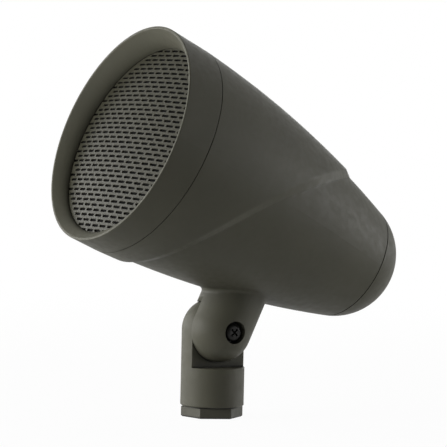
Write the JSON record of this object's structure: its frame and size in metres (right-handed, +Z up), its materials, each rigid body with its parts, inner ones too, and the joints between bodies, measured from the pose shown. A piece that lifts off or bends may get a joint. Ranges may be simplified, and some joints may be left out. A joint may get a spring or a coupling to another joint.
{
  "type": "outdoor patio speaker",
  "caption": "Bullet-shaped outdoor speaker with a recessed slotted grille, on a half-lap tilting knuckle that swivels on a hexagonal base with a threaded stake socket.",
  "frame": {"origin": "centre of the mouth of the threaded socket in the underside of the hexagonal base", "axes": "+Z up along the stem, the grille faces -Y and is pitched up, the tilt axis runs along X"},
  "size_m": [0.14, 0.2243, 0.2416],
  "materials": {
    "housing": "fine-grained moulded plastic, dark bronze",
    "grille_paint": "powder-coated sheet, grey bronze",
    "base_plastic": "fine-grained moulded plastic, dark bronze",
    "black_screw": "black oxide",
    "steel": "plain steel",
    "rubber": "matt black rubber",
    "cloth": "black acoustic cloth",
    "basket_paint": "black enamel",
    "cone_poly": "dark polypropylene",
    "spider_cloth": "resin-dipped cloth",
    "copper": "enamelled copper wire",
    "ferrite": "ground ferrite",
    "tweeter_plastic": "black plastic",
    "dome_film": "thin formed metal film",
    "board": "glass-fibre board",
    "capacitor_film": "taped film capacitor",
    "ceramic": "white ceramic"
  },
  "bodies": {
    "base": {"hex_base": "base_plastic", "swivel_ring": "steel", "swivel_washer": "rubber"},
    "stem": {"lower_knuckle": "housing", "pivot_screw": "black_screw", "pivot_washer": "black_screw", "pivot_nut": "steel"},
    "head": {"enclosure": "housing", "front_bezel": "housing", "rear_cap": "housing", "grille": "grille_paint", "grille_cloth": "cloth", "bezel_gasket": "rubber", "rear_seal": "rubber", "driver_gasket": "rubber", "driver_basket": "basket_paint", "driver_screws": "black_screw", "cone_surround": "rubber", "spider": "spider_cloth", "front_plate": "steel", "magnet": "ferrite", "back_plate": "steel", "tweeter_bridge": "tweeter_plastic", "tweeter_cup": "tweeter_plastic", "tweeter_dome": "dome_film", "crossover_board": "board", "crossover_choke": "copper", "crossover_capacitor": "capacitor_film", "crossover_resistor": "ceramic", "board_screws": "steel"},
    "cone": {"woofer_cone": "cone_poly", "dust_cap": "cone_poly", "voice_coil": "copper"}
  },
  "joints": [
    {"name": "pan", "type": "hinge", "parent": "base", "child": "stem", "pos_m": [0, 0, 0], "axis": [0, 0, 1], "range_deg": [-170, 170]},
    {"name": "tilt", "type": "hinge", "parent": "stem", "child": "head", "pos_m": [0.0068, 0, 0.0543], "axis": [-1, 0, 0], "range_deg": [-70, 19]},
    {"name": "cone_travel", "type": "slide", "parent": "head", "child": "cone", "axis": [0, -0.9033, 0.4289], "range_m": [-0.0025, 0.0025], "stiffness_N_per_m": 1500, "deforming": ["cone_surround", "spider"]}
  ]
}
